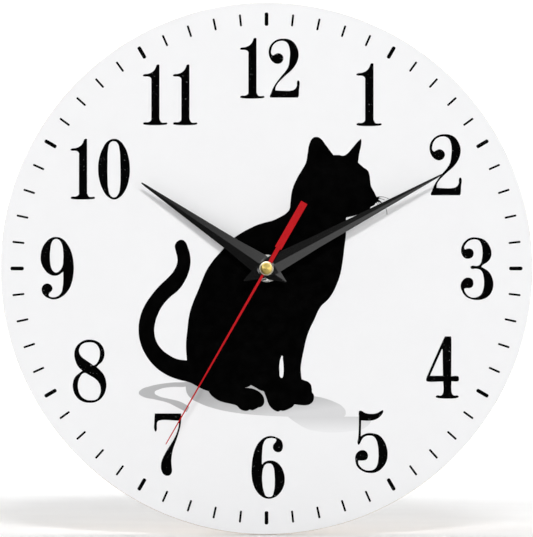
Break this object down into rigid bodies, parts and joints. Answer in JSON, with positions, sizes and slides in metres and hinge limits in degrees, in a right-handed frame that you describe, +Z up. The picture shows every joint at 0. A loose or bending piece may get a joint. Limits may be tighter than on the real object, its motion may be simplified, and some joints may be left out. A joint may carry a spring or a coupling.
{
  "type": "wall clock",
  "caption": "Round frameless wall clock with a printed sitting-cat dial, dauphine hands and a quartz movement behind that hangs on a moulded loop.",
  "frame": {"origin": "on the hand shaft, in the plane of the movement's flat rear face, which lies on the wall", "axes": "+Z up, +Y into the wall, the dial faces -Y with +X to the viewer's right"},
  "size_m": [0.25, 0.0348, 0.25],
  "materials": {
    "board": "fibreboard, sanded edge",
    "print": "matte white printed laminate with a black print",
    "nickel": "nickel plated",
    "gasket": "matte rubber",
    "bush": "turned and threaded",
    "hand_black": "satin black paint on stamped aluminium",
    "hand_red": "red paint on stamped aluminium",
    "cap_brass": "turned and polished",
    "case_black": "moulded, fine texture",
    "acetal": "moulded",
    "soft_iron": "stamped sheet",
    "bobbin": "moulded nylon",
    "copper": "enamelled copper wire, wound",
    "laminate": "phenolic circuit board",
    "crystal_can": "drawn metal can",
    "epoxy": "epoxy drop",
    "contact": "nickel plated spring steel",
    "battery": "printed sleeve with no mark",
    "magnet": "moulded ferrite",
    "wheel_plastic": "moulded acetal",
    "knob_grey": "moulded"
  },
  "bodies": {
    "clock_body": {"dial_board": "board", "dial_print": "print", "dial_washer": "nickel", "fixing_nut": "nickel", "rubber_gasket": "gasket", "threaded_bush": "bush", "movement_case": "case_black", "back_cover": "case_black", "mid_plate": "acetal", "rear_bridge": "acetal", "stator": "soft_iron", "coil_core": "soft_iron", "coil_bobbin": "bobbin", "coil_winding": "copper", "circuit_board": "laminate", "quartz_crystal": "crystal_can", "chip_cover": "epoxy", "positive_contact": "contact", "negative_contact": "contact"},
    "seconds": {"second_hand": "hand_red", "second_hand_cap": "cap_brass", "second_wheel": "wheel_plastic"},
    "rotor": {"rotor_magnet": "magnet", "rotor_pinion": "wheel_plastic"},
    "intermediate": {"intermediate_wheel": "wheel_plastic"},
    "third": {"third_wheel": "wheel_plastic"},
    "centre": {"centre_wheel": "wheel_plastic"},
    "minutes": {"minute_hand": "hand_black", "minute_tube": "wheel_plastic"},
    "minute_reduction": {"minute_wheel": "wheel_plastic"},
    "hours": {"hour_hand": "hand_black", "hour_wheel": "wheel_plastic"},
    "knob": {"setting_knob": "knob_grey"},
    "battery": {"battery_cell": "battery"}
  },
  "joints": [
    {"name": "second_hand_turn", "type": "hinge", "parent": "clock_body", "child": "seconds", "pos_m": [0, -0.01, 0], "axis": [0, 1, 0], "continuous": true},
    {"name": "rotor_turn", "type": "hinge", "parent": "clock_body", "child": "rotor", "pos_m": [0.00244, -0.01, 0.01579], "axis": [0, 1, 0], "continuous": true},
    {"name": "intermediate_wheel_turn", "type": "hinge", "parent": "clock_body", "child": "intermediate", "pos_m": [-0.00156, -0.01, 0.00886], "axis": [0, 1, 0], "continuous": true},
    {"name": "third_wheel_turn", "type": "hinge", "parent": "clock_body", "child": "third", "pos_m": [0.00893, -0.01, 0.00325], "axis": [0, 1, 0], "continuous": true},
    {"name": "centre_wheel_turn", "type": "hinge", "parent": "clock_body", "child": "centre", "pos_m": [0, -0.01, 0], "axis": [0, 1, 0], "continuous": true},
    {"name": "minute_hand_turn", "type": "hinge", "parent": "clock_body", "child": "minutes", "pos_m": [0, -0.01, 0], "axis": [0, 1, 0], "continuous": true},
    {"name": "minute_wheel_turn", "type": "hinge", "parent": "clock_body", "child": "minute_reduction", "pos_m": [-0.00736, -0.01, 0.00425], "axis": [0, 1, 0], "continuous": true},
    {"name": "hour_hand_turn", "type": "hinge", "parent": "clock_body", "child": "hours", "pos_m": [0, -0.01, 0], "axis": [0, 1, 0], "continuous": true},
    {"name": "setting_knob_turn", "type": "hinge", "parent": "clock_body", "child": "knob", "pos_m": [-0.01442, -0.01, 0.00832], "axis": [0, 1, 0], "continuous": true},
    {"name": "battery_lift", "type": "slide", "parent": "clock_body", "child": "battery", "axis": [0, 1, 0], "range_m": [0, 0.022]}
  ],
  "couplings": [
    {"joint": "intermediate_wheel_turn", "follows": "second_hand_turn", "ratio": -5},
    {"joint": "rotor_turn", "follows": "second_hand_turn", "ratio": 30},
    {"joint": "third_wheel_turn", "follows": "second_hand_turn", "ratio": -0.125},
    {"joint": "centre_wheel_turn", "follows": "second_hand_turn", "ratio": 0.016667},
    {"joint": "minute_wheel_turn", "follows": "minute_hand_turn", "ratio": -0.33333},
    {"joint": "hour_hand_turn", "follows": "minute_hand_turn", "ratio": 0.083333},
    {"joint": "setting_knob_turn", "follows": "minute_hand_turn", "ratio": 1.2}
  ]
}
